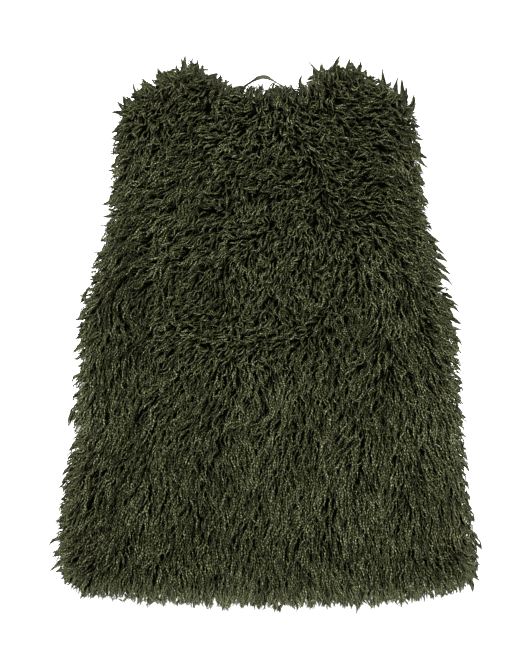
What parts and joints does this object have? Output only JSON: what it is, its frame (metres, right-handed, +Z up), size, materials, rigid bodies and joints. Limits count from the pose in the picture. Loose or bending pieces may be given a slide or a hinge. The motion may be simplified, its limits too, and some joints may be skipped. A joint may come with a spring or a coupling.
{
  "type": "faux fur vest",
  "caption": "Sleeveless long curly-pile vest laid flat with its back up, flared to a slightly curved hem, with a tape hanger loop at the back neck.",
  "frame": {"origin": "bottom centre of the vest's box, on the surface it lies on", "axes": "+Y from the hem to the neck, +X to the right as the back is looked at, +Z up out of the surface"},
  "size_m": [0.5692, 0.7312, 0.048],
  "materials": {
    "fur": "long crimped pile, soft sheen, near black at the roots",
    "tape": "matte woven tape"
  },
  "bodies": {
    "root": {"back_panel": "fur", "front_left": "fur", "front_right": "fur", "hanger_loop": "tape"}
  },
  "joints": []
}
